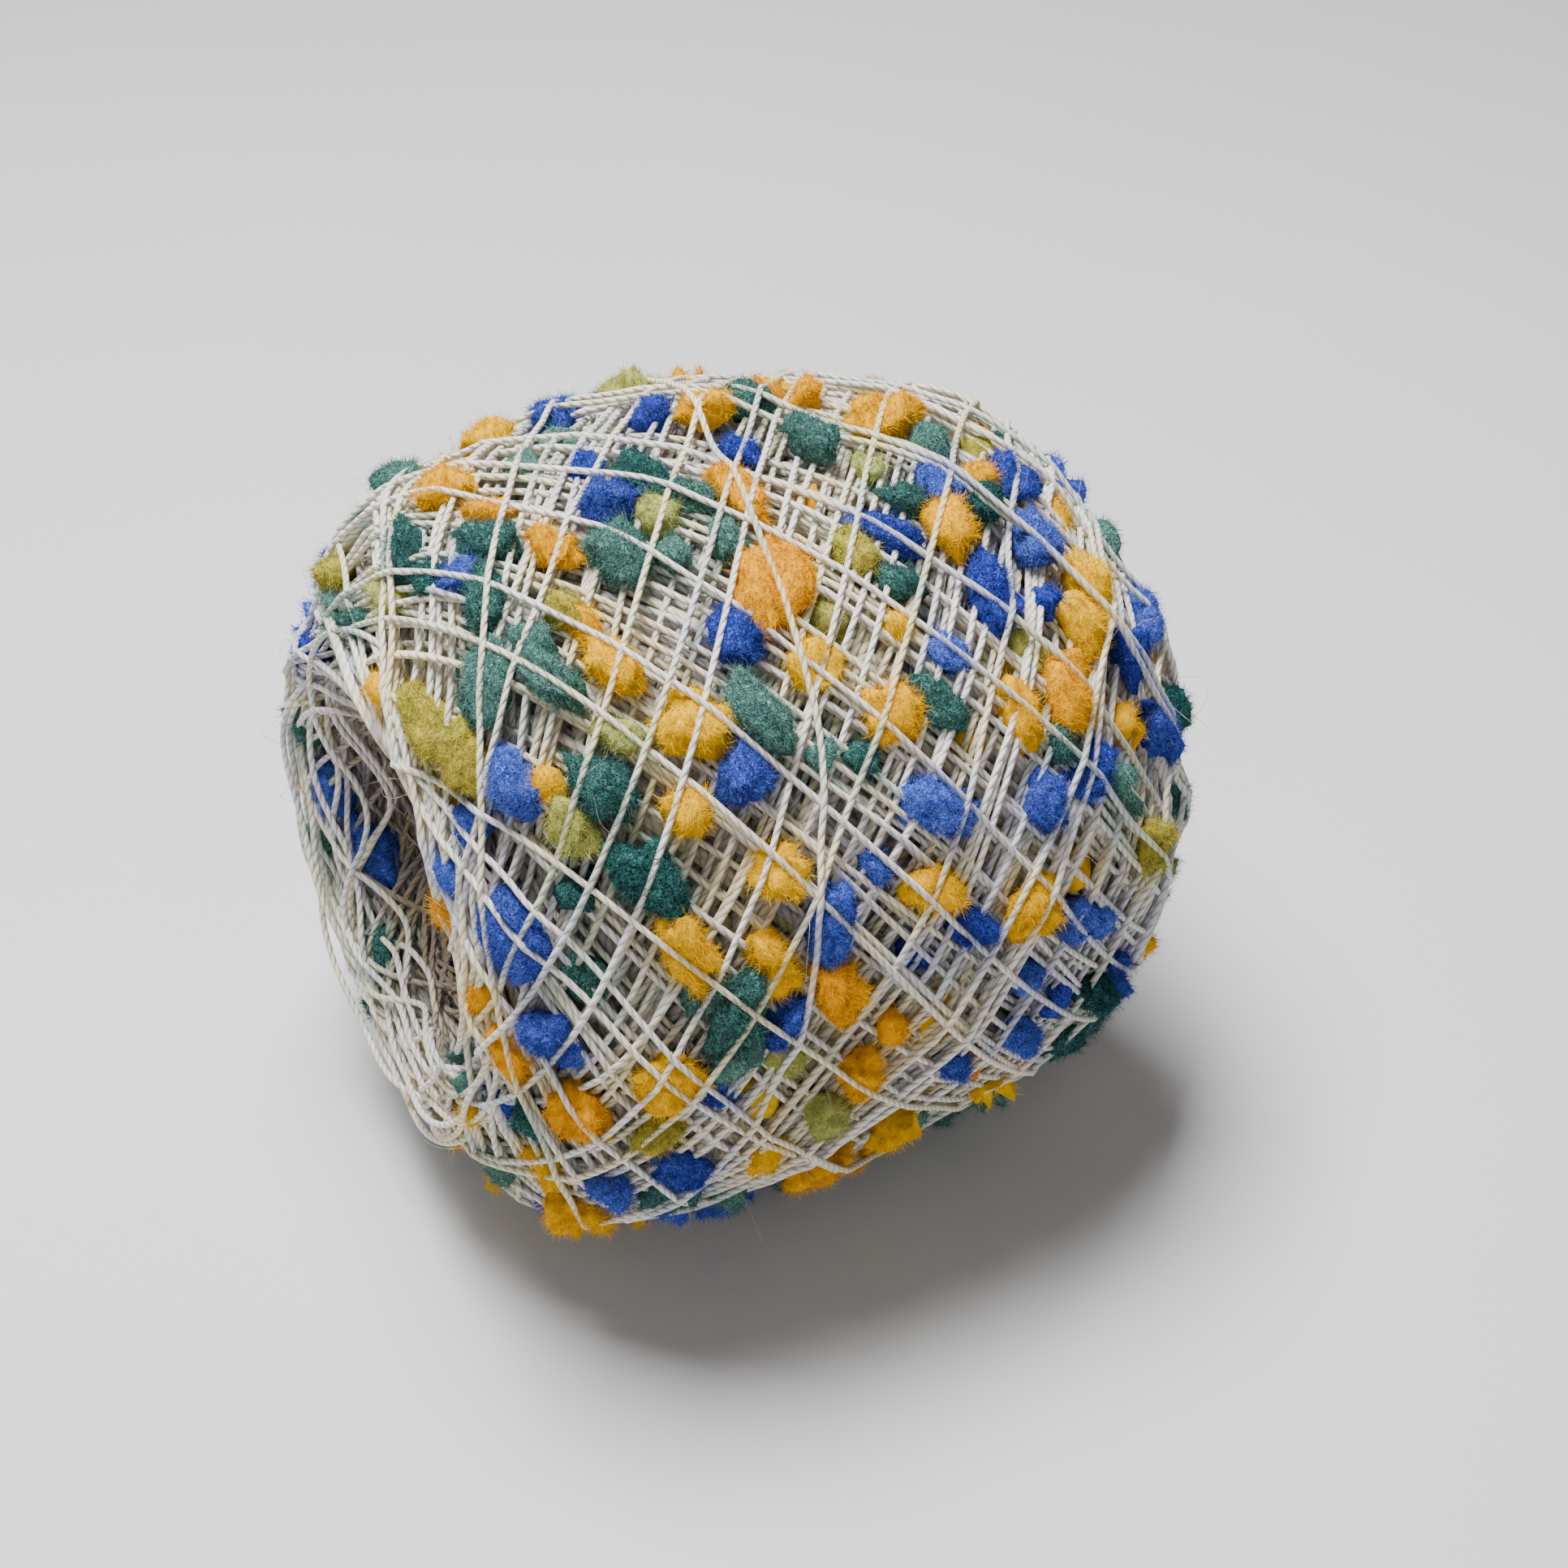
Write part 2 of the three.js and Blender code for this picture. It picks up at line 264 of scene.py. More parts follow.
def read_dot(name):
    """A dot of the solid model, from its own node."""
    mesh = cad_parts[name].data
    spots = np.empty(len(mesh.vertices) * 3)
    mesh.vertices.foreach_get("co", spots)
    spots = spots.reshape(-1, 3) / MM
    middle = spots.mean(0)
    x, y, z = middle
    r = math.hypot(y, z - AXIS_HEIGHT)
    nearest = np.argmin(np.hypot(POINTS[:, 0] - x, POINTS[:, 1] - r))
    along, turn = LENGTH[nearest] - EQUATOR, math.atan2(-y, z - AXIS_HEIGHT)
    out = outward_at(along, turn)
    rel = spots - middle
    flat = rel - np.outer(rel @ out, out)
    _, ways = np.linalg.eigh(flat.T @ flat)
    long = ways[:, 2]
    wide = np.cross(out, long)
    return {"name": name, "colour": name.split("_")[1], "middle": middle, "along": along, "turn": turn,
            "out": out, "long": long, "wide": wide,
            "half": np.array([np.abs(rel @ way).max() for way in (long, wide, out)])}


def lay_dot(colour, along, degrees, long, wide, lie, proud, deep=4.2):
    """A dot by its place along the ball and round it, its size and the lie of its long side."""
    turn, lie = math.radians(degrees), math.radians(lie)
    out, round_way = outward_at(along, turn), round_way_at(turn)
    long_way = math.cos(lie) * round_way + math.sin(lie) * np.cross(out, round_way)
    return {"name": None, "colour": colour, "proud": proud,
            "middle": place(along, turn, proud - deep / 2), "along": along,
            "turn": turn, "out": out, "long": long_way, "wide": np.cross(out, long_way),
            "half": np.array([long, wide, deep]) / 2}


# Smaller and half-hidden dots that show between the turns, read off the photograph
LESSER = [
    # colour, along, degrees round, long, wide, lie, stands out
    ("teal", -37, 2, 5, 3.5, 10, 1.0), ("teal", -10, 10, 4.5, 3.5, 45, 1.0),
    ("teal", -30, 4, 7, 3.5, 45, 1.3), ("blue", -34, 7, 5.5, 3.5, 50, 1.3),
    ("gold", -28, -2, 5.5, 3, 50, 1.0), ("gold", -25, 11, 6, 3.5, 35, 1.3),
    ("gold", -26, 24, 4, 3, 30, 0.7), ("gold", -25, 31, 7, 4, 35, 1.3),
    ("teal", -31, 23, 4.5, 3.5, 30, 0.9), ("teal", -15, 18, 4, 3.5, 30, 0.8),
    ("olive", -14, 11, 4.5, 3.5, 40, 0.9), ("teal", -9, 18, 5.5, 3.5, -10, 0.9),
    ("blue", -2, 3, 5.5, 3.5, 10, 1.4), ("blue", -7, -13, 5, 3, 30, 1.4), ("blue", -17, -3, 4, 3, -70, 0.9),
    ("teal", -22, -10, 4, 3, 30, 0.9), ("teal", -30, -30, 4.5, 3.5, 0, 1.4),
    ("teal", 3, -10, 6.5, 3.5, 50, 1.3), ("gold", 6, -12, 5, 3.5, -60, 1.3),
    ("gold", 9, -8, 4.5, 3, -60, 1.2), ("olive", -27, 21, 5.5, 3.5, 30, 0.8),
    ("olive", -27, 40, 5, 3.5, 45, 1.0), ("olive", -34, 50, 6, 4, 25, 1.0),
    ("gold", -35, 43, 4, 3, 20, 0.8), ("blue", -45, 44, 5, 3, -20, 0.8), ("gold", -49, 8, 5.5, 3, 0, 1.0),
    ("olive", -43, -33, 5, 3.5, 20, 1.4), ("teal", -47, -28, 4.5, 3.5, 0, 1.4),
    ("olive", -42, -5, 5, 3, -20, 0.9), ("teal", -47, -14, 5, 3.5, 20, 1.2),
    ("teal", 18, 8, 4.5, 3, 40, 0.9), ("olive", 9, 11, 3.5, 3, 30, 0.8), ("teal", 10, 19, 5.5, 3, 45, 1.0),
    ("teal", 19, 21, 4.5, 4, 20, 1.1), ("gold", 21, 16, 4, 3, 30, 0.8), ("blue", 6, 24, 8, 3, 55, 1.0),
    ("olive", 2, 26, 5.5, 4.5, 20, 1.4), ("teal", 5, 31, 6, 3.5, 50, 0.8), ("gold", 3, 37, 3.2, 3, 0, 0.7),
    ("blue", 21, 38, 3.6, 2.4, 0, 0.8), ("blue", 7, 42, 5, 4, 25, 1.0), ("gold", 25, 43, 6, 3.5, 10, 1.1),
    ("gold", -7, 39, 5.5, 5, 90, 1.5), ("teal", -5, 52, 4, 3, 20, 0.7), ("teal", -9, 50, 3.5, 3, -20, 0.6),
    ("teal", 4, 48, 6, 4, 35, 1.2), ("gold", 13, 52, 7, 3.5, 5, 0.9), ("teal", 17, 58, 5, 3.5, 0, 0.9),
    ("blue", 20, 63, 7, 4, -55, 1.6), ("teal", 25, 69, 5.5, 3.5, 20, 1.1),
    ("blue", 36, 64, 7, 4.5, 10, 1.6), ("teal", -28, 59, 7.5, 5, 25, 1.5),
    ("teal", -25, 76, 6, 4, -30, 0.9), ("blue", -41, 83, 6, 5, 65, 1.6), ("gold", -46, 90, 6.5, 4, 30, 1.4),
    ("gold", -50, 80, 5, 3.5, 0, 1.0), ("teal", -43, 106, 5.5, 4, 50, 1.0),
    ("gold", -41, 119, 5.5, 3.5, 50, 0.9), ("gold", -18, 74, 7.5, 4, 20, 1.2),
    ("blue", -17, 83, 6.5, 3, -35, 1.1), ("gold", -6, 90, 3.4, 3, 0, 1.0), ("blue", -6, 66, 4, 3, 20, 0.8),
    ("blue", 3, 78, 5.5, 3.5, 60, 1.6), ("teal", -22, 87, 6, 4.5, -40, 1.0),
    ("blue", 17, 86, 6, 4.5, 45, 1.5), ("gold", -9, 97, 7, 4, 25, 1.2), ("olive", -12, 104, 6, 4, 35, 1.0),
    ("blue", 2, 103, 5.5, 4, 30, 1.1), ("blue", 26, 106, 6, 4, 0, 1.4), ("teal", 22, 106, 6, 4, 40, 1.2),
    ("gold", -51, 123, 5, 3.5, -35, 1.5), ("teal", -54, 116, 6, 4.5, 0, 1.8),
    ("gold", -35, 130, 9, 5, 50, 2.3), ("gold", -48, 150, 6, 4, 30, 1.4),
    ("gold", -56, 62, 6, 4.5, 0, 1.8), ("blue", -56, -95, 7.5, 4.5, 0, 1.0),
    ("blue", -60, -118, 8.5, 5, 10, 1.4), ("teal", -57, -150, 6, 4, 0, 1.2),
    ("blue", -59, 32, 5, 3.5, 0, 0.8), ("blue", -50, 52, 5, 3.5, 20, 0.8),
]


def scatter_dots(taken, count, seed, apart=7.4, long=(4.5, 8), proud=(0.6, 1.8), front_too=False):
    """Dots elsewhere on the ball, seldom near another, mostly half under the turns."""
    rng = np.random.default_rng(seed)
    spots, made = [d["middle"] for d in taken], []
    front = math.radians(-30), math.radians(100)
    for _ in range(count * 30):
        if len(made) == count:
            break
        along, turn = rng.uniform(-52, 56), rng.uniform(-math.pi, math.pi)
        seen = front[0] < turn < front[1] and along < 42 and not front_too
        spot = place(along, turn, 0)
        underneath = spot[2] < 5
        if seen or underneath or min(np.linalg.norm(s - spot) for s in spots) < apart:
            continue
        colour = rng.choice(COLOURS, p=[0.34, 0.3, 0.27, 0.09])
        made.append(lay_dot(colour, along, math.degrees(turn), rng.uniform(*long), rng.uniform(3.4, 5.2),
                            rng.choice([-37, 37]) + rng.uniform(-20, 20), rng.uniform(*proud)))
        spots.append(spot)
    return made


def drop_dots(heap):
    """The dots now lie on the heap, soft enough for the last, slacker turns to press into them."""
    heap.bend = SLACK_BEND
    u, v = np.meshgrid(np.linspace(-1, 1, 25), np.linspace(-1, 1, 21))
    inside = u ** 2 + v ** 2 < 1
    u, v = u[inside], v[inside]
    lump = np.sqrt(1 - u ** 2 - v ** 2)
    for dot in DOTS:
        if dot["name"] is None and dot["half"][0] < 3.2:
            continue
        spread = np.outer(u * dot["half"][0], dot["long"]) + np.outer(v * dot["half"][1], dot["wide"])
        _, r, _, _ = section_at(dot["along"])
        round_way = round_way_at(dot["turn"])
        along = dot["along"] + spread @ np.cross(dot["out"], round_way)
        turn = dot["turn"] + spread @ round_way / max(float(r), LEAST_RADIUS)
        rise = (dot["middle"] - place(dot["along"], dot["turn"], 0)) @ dot["out"]
        top = PRESSED * (rise + dot["half"][2] * lump) + 0.05
        i, j = heap.cell(along, turn)
        np.maximum.at(heap.need, (i, j), top)


def tree_of(spots):
    """A search tree of points, for the nearest ones."""
    tree = KDTree(len(spots))
    for k, spot in enumerate(spots):
        tree.insert(Vector(spot), k)
    tree.balance()
    return tree


# Pieces

def keep_above_floor(points, gap):
    points[:, 2] = np.maximum(points[:, 2], gap)
    return points


def mesh_from(obj):
    """The shape that an object's curve or modifiers give, as a plain mesh."""
    graph = bpy.context.evaluated_depsgraph_get()
    return bpy.data.meshes.new_from_object(obj.evaluated_get(graph), depsgraph=graph)


def show(name, data):
    """A new object in the scene, at the origin."""
    made = bpy.data.objects.new(name, data)
    bpy.context.scene.collection.objects.link(made)
    return made


def drop(obj):
    data = obj.data
    bpy.data.objects.remove(obj)
    (bpy.data.curves if isinstance(data, bpy.types.Curve) else bpy.data.meshes).remove(data)


def rounded(bm, mesh):
    """Puts a bmesh with smooth faces into a mesh."""
    for face in bm.faces:
        face.smooth = True
    bm.to_mesh(mesh)
    bm.free()
    return mesh


def strand_piece(name, runs, sides, thick=STRAND, taper=False):
    """Strands as one mesh. Its UV map holds the length run and the way round, for the plies."""
    curve = bpy.data.curves.new(name, "CURVE")
    curve.dimensions = "3D"
    curve.fill_mode = "FULL"
    curve.bevel_depth = thick / 2 * MM
    curve.bevel_resolution = (sides - 4) // 2
    lengths, dyes_and_shades = [], []
    for run in runs:
        points = run["points"]
        spline = curve.splines.new("POLY")
        spline.points.add(len(points) - 1)
        flat = np.ones((len(points), 4), np.float32)
        flat[:, :3] = points * MM
        spline.points.foreach_set("co", flat.ravel())
        if taper:
            spline.points.foreach_set("radius", np.linspace(1, 0.25, len(points)).astype(np.float32))
        step = np.linalg.norm(np.diff(points, axis=0), axis=1)
        lengths.append(np.concatenate([[0], np.cumsum(step)]))
        dyes_and_shades.append(run["dye"])
    holder = show(name + ".path", curve)
    mesh = mesh_from(holder)
    drop(holder)
    length = np.repeat(np.concatenate(lengths), sides)
    dye = np.repeat(np.concatenate(dyes_and_shades), sides, axis=0)
    corner = np.empty(len(mesh.loops), np.int32)
    mesh.loops.foreach_get("vertex_index", corner)
    uv = np.empty(len(mesh.loops) * 2, np.float32)
    mesh.uv_layers[0].data.foreach_get("uv", uv)
    uv = uv.reshape(-1, 2)
    uv[:, 0] = length[corner]
    mesh.uv_layers[0].data.foreach_set("uv", uv.ravel())
    mesh.uv_layers[0].name = "plies"
    # the strand's dye, with the painted shade of the core and of deep lays multiplied in
    layer = mesh.attributes.new("dye", "FLOAT_COLOR", "POINT")
    layer.data.foreach_set("color", dye.astype(np.float32).ravel())
    bm = bmesh.new()
    bm.from_mesh(mesh)
    bmesh.ops.holes_fill(bm, edges=[e for e in bm.edges if e.is_boundary], sides=0)
    rounded(bm, mesh)
    mesh.name = name
    return show(name, mesh)


WHITE = np.array([0.90, 0.865, 0.82])
CREAM = np.array([0.90, 0.84, 0.58])
PAINTED_CORE_SHADE = np.array([0.36, 0.30, 0.245])  # painted shade multiplied into the strands inside the core
TINTS = {"gold": (0.82, 0.66, 0.26), "teal": (0.30, 0.47, 0.43), "blue": (0.36, 0.42, 0.68),
         "olive": (0.66, 0.66, 0.32)}


def dye_and_shade_run(points, t, seed, core_shade_share=1.0):
    """Ivory with creamy stretches, the tint of a dot close by, and painted shade inside the core."""
    warm = np.clip(drift(t, 1.6, seed) * 1.1 + 0.1, 0, 1)[:, None]
    colour = WHITE * (1 - warm) + CREAM * warm
    picks = drift(t, 0.5, seed + 5)
    for k, point in enumerate(points):
        if picks[k] < -0.1:
            continue
        _, which, away = DOT_TREE.find(Vector(point))
        if away < TINT_REACH:
            share = 0.75 * (1 - away / TINT_REACH) ** 0.7
            colour[k] = colour[k] * (1 - share) + np.array(TINTS[DOTS[which]["colour"]]) * share
    # painted shade: the strand darkens towards the axis, inside the core
    radius, over = CORE_SHADE
    from_axis = np.hypot(points[:, 1], points[:, 2] - AXIS_HEIGHT)
    inside = core_shade_share * np.clip((radius - from_axis) / over, 0, 1)[:, None]
    colour = colour * (1 - inside) + colour * PAINTED_CORE_SHADE * inside
    return np.hstack([colour, np.ones((len(points), 1))])


def turns_piece(lay, laid, seed):
    """The strand of one lay, with painted shade that greys it the deeper it lies."""
    pick = slice(None, None, lay["every"])
    points = keep_above_floor(place(laid["along"][pick], laid["turn"][pick], laid["high"][pick]), STRAND / 2)
    dye = dye_and_shade_run(points, laid["t"][pick], seed)
    # painted shade: the lower a strand lies in the heap, the darker its colour
    dye[:, :3] *= np.clip(1.0 + 0.10 * (laid["high"][pick] + 1.0), 0.58, 1)[:, None]
    run = {"points": points, "dye": dye}
    return strand_piece(lay["name"], [run], lay["sides"], lay.get("thick", STRAND))


def dot_body(bm, dot, over, shade_layer, show_layer, rng):
    """One felted dot: an uneven lump, grooved where a turn presses into it."""
    large = dot["name"] or dot["half"][0] > 2.9 and dot["proud"] > 0.8
    made = bmesh.ops.create_icosphere(bm, subdivisions=3 if large else 2, radius=1.0)["verts"]
    seed = Vector(rng.uniform(0, 40, 3))
    ball = np.array([v.co for v in made])
    lumps, pits = (0.32, 0.09) if large else (0.16, 0.0)
    swell = np.array([1 + 0.5 * noise.noise(v.co * 1.2 + seed) + lumps * noise.noise(v.co * 2.6 + seed)
                      + pits * noise.noise(v.co * 7.0 + seed) for v in made])[:, None]
    shape = np.sign(ball) * np.abs(ball) ** 0.92 * swell
    shape[:, 1:] *= 1 - rng.uniform(-0.15, 0.55) * np.abs(ball[:, :1]) ** 3
    shape = shape * dot["half"]
    rel = sum(np.outer(side, dot[way]) for side, way in zip(shape.T, ("long", "wide", "out")))
    found = over.find_range(Vector(dot["middle"]), dot["half"].max() + 2.5)
    if found:
        near = np.array([f[0] for f in found]) - dot["middle"]
        lift = near @ dot["out"]
        flat = near - np.outer(lift, dot["out"])
        own = rel @ dot["out"]
        own_flat = rel - np.outer(own, dot["out"])
        away = np.linalg.norm(own_flat[:, None] - flat[None], axis=2) / GROOVE_HALF
        press = np.where(away < 1, lift[None] - 0.3 + 1.3 * away ** 2, np.inf).min(1)
        deepest = -0.5
        pressed = np.where(own > deepest, np.minimum(own, np.maximum(press, deepest)), own)
        rel += np.outer(pressed - own, dot["out"])
    spots = keep_above_floor(dot["middle"] + rel, 0.1)
    shade = rng.beta(0.7, 0.7)
    surface = place(dot["along"], dot["turn"], 0)
    for v, spot in zip(made, spots):
        v.co = spot * MM
        v[shade_layer] = shade
        v[show_layer] = 1.0 if (spot - surface) @ dot["out"] > -1.0 else 0.0


def dots_piece(colour, over, nap):
    """All the dots of one colour, with their nap."""
    bm = bmesh.new()
    shade_layer = bm.verts.layers.float.new("shade")
    show_layer = bm.verts.layers.float.new("show")
    rng = np.random.default_rng(SEED + len(colour) * 7 + ord(colour[0]))
    for dot in DOTS:
        if dot["colour"] == colour:
            dot_body(bm, dot, over, shade_layer, show_layer, rng)
    bare = show("felt", rounded(bm, bpy.data.meshes.new("felt_" + colour)))
    coat = bare.modifiers.new("nap", "NODES")
    coat.node_group = nap
    coat[nap.interface.items_tree["Hairs"].identifier] = NAP_DENSITY / MM ** 2
    coat[nap.interface.items_tree["Seed"].identifier] = SEED
    whole = mesh_from(bare)
    drop(bare)
    whole.name = "dots_" + colour
    return show(whole.name, whole)


def set_inputs(node, **values):
    """Sets a node's inputs by their names, and gives the node back."""
    for label, value in values.items():
        node.inputs[label.replace("_", " ")].default_value = value
    return node


def maths(tree, operation, *values):
    """The result of a sum on numbers and sockets."""
    node = tree.nodes.new("ShaderNodeMath")
    node.operation = operation
    for socket, value in zip(node.inputs, values):
        if isinstance(value, (int, float)):
            socket.default_value = value
        else:
            tree.links.new(value, socket)
    return node.outputs[0]


def nap_tree():
    """Short tapered hairs standing all over the felt that shows, leaning every way."""
    tree = bpy.data.node_groups.new("nap", "GeometryNodeTree")
    face = tree.interface
    face.new_socket("Felt", in_out="INPUT", socket_type="NodeSocketGeometry")
    face.new_socket("Hairs", in_out="INPUT", socket_type="NodeSocketFloat")
    face.new_socket("Seed", in_out="INPUT", socket_type="NodeSocketInt")
    face.new_socket("Felted", in_out="OUTPUT", socket_type="NodeSocketGeometry")

    link = tree.links.new
    start, end = tree.nodes.new("NodeGroupInput"), tree.nodes.new("NodeGroupOutput")
    shows = set_inputs(tree.nodes.new("GeometryNodeInputNamedAttribute"), Name="show")
    shows.data_type = "FLOAT"
    dense = maths(tree, "MULTIPLY", start.outputs["Hairs"], shows.outputs["Attribute"])
    points = tree.nodes.new("GeometryNodeDistributePointsOnFaces")
    link(start.outputs["Felt"], points.inputs["Mesh"])
    link(dense, points.inputs["Density"])
    link(start.outputs["Seed"], points.inputs["Seed"])

    hair = set_inputs(tree.nodes.new("GeometryNodeMeshCone"), Vertices=3, Side_Segments=1, Radius_Top=0.0,
                      Radius_Bottom=NAP_THICK * MM, Depth=NAP_LONG * MM)
    hair.fill_type = "NONE"
    spot = tree.nodes.new("GeometryNodeInputPosition")
    split = tree.nodes.new("ShaderNodeSeparateXYZ")
    link(spot.outputs[0], split.inputs[0])
    tip = maths(tree, "DIVIDE", split.outputs["Z"], NAP_LONG * MM)
    mark = set_inputs(tree.nodes.new("GeometryNodeStoreNamedAttribute"), Name="tip")
    mark.data_type = "FLOAT"
    link(hair.outputs["Mesh"], mark.inputs["Geometry"])
    link(tip, mark.inputs["Value"])

    lean = tree.nodes.new("FunctionNodeRandomValue")
    lean.data_type = "FLOAT_VECTOR"
    lean.inputs["Min"].default_value = (-1.15, -1.15, -3.1)  # radians
    lean.inputs["Max"].default_value = (1.15, 1.15, 3.1)
    tilt = tree.nodes.new("FunctionNodeEulerToRotation")
    turn = tree.nodes.new("FunctionNodeRotateRotation")
    turn.rotation_space = "LOCAL"
    link(lean.outputs["Value"], tilt.inputs[0])
    link(points.outputs["Rotation"], turn.inputs["Rotation"])
    link(tilt.outputs[0], turn.inputs["Rotate By"])
    size = tree.nodes.new("FunctionNodeRandomValue")
    size.data_type = "FLOAT"
    size.inputs[2].default_value, size.inputs[3].default_value = NAP_RANGE
    stand = tree.nodes.new("GeometryNodeInstanceOnPoints")
    link(points.outputs["Points"], stand.inputs["Points"])
    link(mark.outputs["Geometry"], stand.inputs["Instance"])
    link(turn.outputs["Rotation"], stand.inputs["Rotation"])
    link(size.outputs[1], stand.inputs["Scale"])
    real = tree.nodes.new("GeometryNodeRealizeInstances")
    join = tree.nodes.new("GeometryNodeJoinGeometry")
    link(stand.outputs["Instances"], real.inputs["Geometry"])
    link(real.outputs["Geometry"], join.inputs["Geometry"])
    link(start.outputs["Felt"], join.inputs["Geometry"])
    link(join.outputs["Geometry"], end.inputs["Felted"])
    return tree


# The last turn, from the top of the ball down its front: along, degrees round
LAST_TURN = [(-1, -46), (-2, -20), (-5, 5), (-7, 22), (-8, 38), (-9, 50), (-13, 66), (-15, 80), (-22, 105),
             (-31, 128)]


def cross_turn(heap):
    """The last turn, loose on top of everything, a sample every cell."""
    rows = np.array(LAST_TURN, float)
    rows = np.vstack([2 * rows[0] - rows[1], rows, 2 * rows[-1] - rows[-2]])
    parts = [smooth_between(*four, 40) for four in zip(rows, rows[1:], rows[2:], rows[3:])]
    line = np.vstack(parts + [rows[-2:-1]])
    spots = place(line[:, 0], np.radians(line[:, 1]), 0)
    run = np.concatenate([[0], np.cumsum(np.linalg.norm(np.diff(spots, axis=0), axis=1))])
    even = np.linspace(0, run[-1], int(run[-1] / CELL))
    along, turn = np.interp(even, run, line[:, 0]), np.radians(np.interp(even, run, line[:, 1]))
    high = heap.lay(along, turn)
    heap.add(along, turn, high)
    return {"t": np.linspace(0, 1.2, len(along)), "along": along, "turn": turn, "high": high}


# Slack turns that stand off the mouth's far rim
SLACK = [
    # along, from degrees, to degrees, stands off, drifts along
    (-52, -52, -152, 2.9, -1.5), (-53, -60, -140, 2.2, 1.0), (-52, -66, -160, 1.7, -1.5),
    (-55, -58, -130, 1.5, -3.0), (-57, -70, -150, 1.0, -2.0), (-50, -75, -165, 1.2, 1.5),
    (-51, -115, -205, 2.4, 1.0), (-54, -130, -215, 1.8, -3.0), (-50, -150, -235, 1.6, 2.0),
    (-52, -165, -250, 1.4, 1.0), (-56, -140, -200, 2.2, -4.0), (-58, -150, -196, 2.6, -5.0),
    (-49, -190, -262, 1.4, -1.0), (-53, 165, 108, 1.8, -2.0), (-55, 176, 128, 2.2, -3.0),
    (-52, -50, -150, 2.8, -9.0), (-53, -46, -140, 2.2, -11.0), (-53, -42, -132, 1.8, -12.0),
    (-52, -60, -168, 2.4, -7.0), (-54, -100, -190, 2.6, -8.0), (-53, -150, -232, 2.4, -6.0),
]


def slack_runs():
    """Each slack turn as a bow held at both ends."""
    runs = []
    for k, (along, start, end, off, way) in enumerate(SLACK):
        s = np.linspace(0, 1, 34)
        bow = np.sin(math.pi * s)
        rise = off * bow ** 0.7 + 0.5 * np.sin(3 * math.pi * s + k) * bow - 1.4 * (1 - bow) ** 3
        beside = along + way * bow + 0.8 * np.sin(2 * math.pi * s + k)
        points = keep_above_floor(place(beside, np.radians(start + (end - start) * s), rise), STRAND)
        # painted shade inside the core, at a quarter of its full strength
        runs.append({"points": points, "dye": dye_and_shade_run(points, s + k, SEED + 60 + k, core_shade_share=0.25)})
    return runs


def rim_runs(count=28):
    """Strands that lie close together round the mouth and run down into the core."""
    rng = np.random.default_rng(SEED + 90)
    runs = []
    for k in range(count):
        start = -60 + 360 * k / count + rng.uniform(-6, 6)
        sweep = rng.uniform(75, 150) * (1 if k % 5 else -1)
        first, last = rng.uniform(-49, -46), rng.uniform(-74, -62)
        s = np.linspace(0, 1, 40)
        along = first + (last - first) * s ** 1.3 + rng.uniform(-0.8, 0.8) * np.sin(2 * math.pi * s)
        rise = 0.1 + rng.uniform(-0.3, 0.9) * np.sin(math.pi * s) - 1.5 * s ** 6 - 1.2 * (1 - s) ** 8
        points = keep_above_floor(place(along, np.radians(start + sweep * s), rise), STRAND / 2)
        runs.append({"points": points, "dye": dye_and_shade_run(points, s + k, SEED + 100 + k)})
    return runs


def hair_runs(laid, count):
    """Stray fibres that stand off the turns."""
    rng = np.random.default_rng(SEED + 31)
    runs = []
    for k in rng.choice(len(laid["t"]), count, replace=False):
        along, turn, high = laid["along"][k], laid["turn"][k], laid["high"][k]
        out = outward_at(along, turn)
        way = rng.normal(size=3)
        way -= (way @ out) * out
        way /= np.linalg.norm(way)
        s = np.linspace(0, 1, 9)[:, None]
        long = rng.uniform(2.5, 6.5)
        curl = rng.normal(size=3) * 0.8
        lift = s ** 0.8 * out * rng.uniform(0.25, 0.75)
        bend = np.sin(s * math.pi * rng.uniform(0.8, 2)) * curl * 0.22
        points = place(along, turn, high) + long * (s * way * 0.8 + lift + bend)
        dye = np.tile(np.array([0.86, 0.85, 0.8, 1.0]), (len(points), 1))
        runs.append({"points": keep_above_floor(points, 0.05), "dye": dye})
    return runs


def under_body():
    """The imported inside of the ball, below the turns that show."""
    bm = bmesh.new()
    steps = np.linspace(0, WHOLE, 72, endpoint=False)
    rings = []
    for turn in np.linspace(0, 2 * math.pi, 90, endpoint=False):
        spots = keep_above_floor(place(steps, turn, -under_depth(steps) - 0.1), 1.0)
        uneven = [Vector(s) + 0.2 * noise.noise_vector(Vector(s) * 0.3) for s in spots]
        rings.append([bm.verts.new(s * MM) for s in uneven])
    for ring, following in zip(rings, rings[1:] + rings[:1]):
        for k in range(len(steps)):
            bm.faces.new((ring[k - 1], ring[k], following[k], following[k - 1]))
    bmesh.ops.recalc_face_normals(bm, faces=bm.faces)
    return show("packed_inside", rounded(bm, bpy.data.meshes.new("packed_inside")))


# Finishes

def new_group(name, inputs, outputs):
    tree = bpy.data.node_groups.new(name, "ShaderNodeTree")
    for label, kind, value in inputs:
        socket = tree.interface.new_socket(label, in_out="INPUT", socket_type="NodeSocket" + kind)
        socket.default_value = value
    for label, kind in outputs:
        tree.interface.new_socket(label, in_out="OUTPUT", socket_type="NodeSocket" + kind)
    return tree, tree.nodes.new("NodeGroupInput"), tree.nodes.new("NodeGroupOutput")


